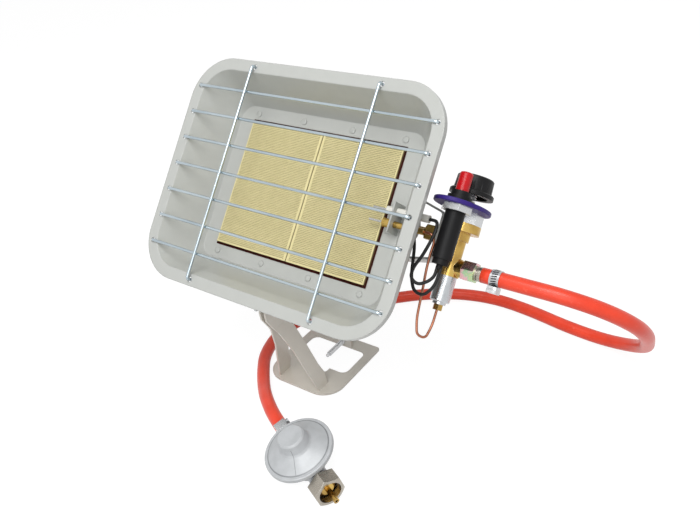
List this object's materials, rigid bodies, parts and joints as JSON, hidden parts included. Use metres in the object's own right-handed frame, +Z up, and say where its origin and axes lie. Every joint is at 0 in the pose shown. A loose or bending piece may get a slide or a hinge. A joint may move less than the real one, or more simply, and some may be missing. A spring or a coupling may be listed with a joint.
{
  "type": "portable gas heater",
  "caption": "Portable radiant gas heater: tilting wire-guarded reflector with ceramic plaques on a clamp stand, side control valve, red hose and bottle regulator.",
  "frame": {"origin": "on the table, under the middle of the heater's footprint without the hose and regulator", "axes": "+X to the heater's right as seen from the front (the valve's side), +Y away from the viewer of the glowing face, +Z up"},
  "size_m": [0.4749, 0.3735, 0.3219],
  "materials": {
    "reflector_paint": "light grey powder coat, satin",
    "stand_paint": "warm grey paint, satin",
    "guard_wire": "bright zinc plated",
    "burner_ceramic": "cream, fine perforations",
    "seal_fibre": "dark red fibre, matt",
    "plated_steel": "zinc plated",
    "spring_steel": "bright spring wire",
    "machined_brass": "turned, slightly dull",
    "yellow_zinc": "yellow zinc plated, iridescent",
    "capillary_copper": "drawn copper",
    "cap_aluminium": "turned",
    "housing_steel": "aluminised sheet",
    "dial_plastic": "purple",
    "knob_plastic": "black",
    "piezo_plastic": "black",
    "button_plastic": "red",
    "insulator_ceramic": "white glaze",
    "lead_rubber": "black",
    "hose_rubber": "orange red, satin",
    "regulator_zinc": "silver grey lacquer on cast zinc",
    "nickel_steel": "nickel plated",
    "diaphragm_rubber": "black"
  },
  "bodies": {
    "stand": {"stand_bracket": "stand_paint", "clamp_screw_nut": "plated_steel", "pivot_bolt": "plated_steel", "pivot_washer": "plated_steel", "gas_hose": "hose_rubber", "hose_clamp_regulator_end": "plated_steel", "clamp_worm_regulator_end": "plated_steel", "regulator_body": "regulator_zinc", "regulator_cover": "regulator_zinc", "regulator_diaphragm": "diaphragm_rubber", "regulator_spring": "spring_steel", "regulator_lever": "plated_steel", "inlet_nipple": "machined_brass"},
    "head": {"reflector": "reflector_paint", "grill_horizontal_wires": "guard_wire", "grill_vertical_wires": "guard_wire", "ceramic_plaque_left": "burner_ceramic", "ceramic_plaque_right": "burner_ceramic", "plaque_seal": "seal_fibre", "burner_housing": "housing_steel", "burner_rivets": "reflector_paint", "mixing_tube": "housing_steel", "gas_jet": "machined_brass", "jet_holder": "machined_brass", "valve_strap": "reflector_paint", "valve_strap_screws": "plated_steel", "valve_body": "machined_brass", "valve_collar_nut": "plated_steel", "dial_plate_nut": "plated_steel", "dial_plate": "dial_plastic", "knob_spring": "spring_steel", "safety_valve_spring": "spring_steel", "safety_magnet": "plated_steel", "magnet_cap": "cap_aluminium", "capillary_end_nut": "machined_brass", "piezo_body": "piezo_plastic", "piezo_ring_nut": "plated_steel", "piezo_spring": "spring_steel", "sensor_bracket": "reflector_paint", "thermocouple": "machined_brass", "thermocouple_nut": "machined_brass", "thermocouple_capillary": "capillary_copper", "ignition_electrode": "plated_steel", "electrode_insulator": "insulator_ceramic", "ignition_lead": "lead_rubber", "earth_lead": "lead_rubber", "hose_coupling_nut": "yellow_zinc", "hose_barb": "nickel_steel", "hose_clamp_valve_end": "plated_steel", "clamp_worm_valve_end": "plated_steel", "tilt_lug": "housing_steel", "tilt_lug_screws": "plated_steel"},
    "valve_plug": {"valve_plug": "machined_brass"},
    "knob": {"control_knob": "knob_plastic", "valve_spindle": "plated_steel"},
    "safety_disc": {"safety_valve_disc": "machined_brass"},
    "push_button": {"piezo_button": "button_plastic"},
    "clamp_screw": {"clamp_screw": "plated_steel"},
    "wing_nut": {"pivot_wing_nut": "plated_steel"},
    "union_nut": {"union_nut": "nickel_steel"}
  },
  "joints": [
    {"name": "head_tilt", "type": "hinge", "parent": "stand", "child": "head", "pos_m": [-0.03, -0.05194, 0.116], "axis": [1, 0, 0], "range_deg": [-20, 39], "deforming": ["gas_hose"]},
    {"name": "valve_turn", "type": "hinge", "parent": "head", "child": "valve_plug", "pos_m": [0.1275, 0.0395, 0.18698], "axis": [0, -0.632, -0.7749], "range_deg": [-150, 0]},
    {"name": "knob_push", "type": "slide", "parent": "valve_plug", "child": "knob", "axis": [0, -0.632, -0.7749], "range_m": [0, 0.005], "stiffness_N_per_m": 1000, "springref_m": -0.003, "deforming": ["knob_spring"]},
    {"name": "safety_valve_lift", "type": "slide", "parent": "head", "child": "safety_disc", "axis": [0, -0.632, -0.7749], "range_m": [0, 0.005], "deforming": ["safety_valve_spring"]},
    {"name": "piezo_press", "type": "slide", "parent": "head", "child": "push_button", "axis": [0, -0.632, -0.7749], "range_m": [0, 0.008], "stiffness_N_per_m": 700, "springref_m": -0.003, "deforming": ["piezo_spring"]},
    {"name": "clamp_screw_feed", "type": "slide", "parent": "stand", "child": "clamp_screw", "axis": [0, -1, 0], "range_m": [-0.025, 0.013]},
    {"name": "wing_nut_turn", "type": "hinge", "parent": "stand", "child": "wing_nut", "pos_m": [-0.038, -0.05194, 0.116], "axis": [1, 0, 0], "continuous": true},
    {"name": "union_nut_spin", "type": "hinge", "parent": "stand", "child": "union_nut", "pos_m": [0.09697, -0.14717, 0.0178], "axis": [0.9078, -0.4195, 0], "continuous": true}
  ],
  "couplings": [
    {"joint": "safety_valve_lift", "follows": "knob_push", "ratio": 1}
  ]
}
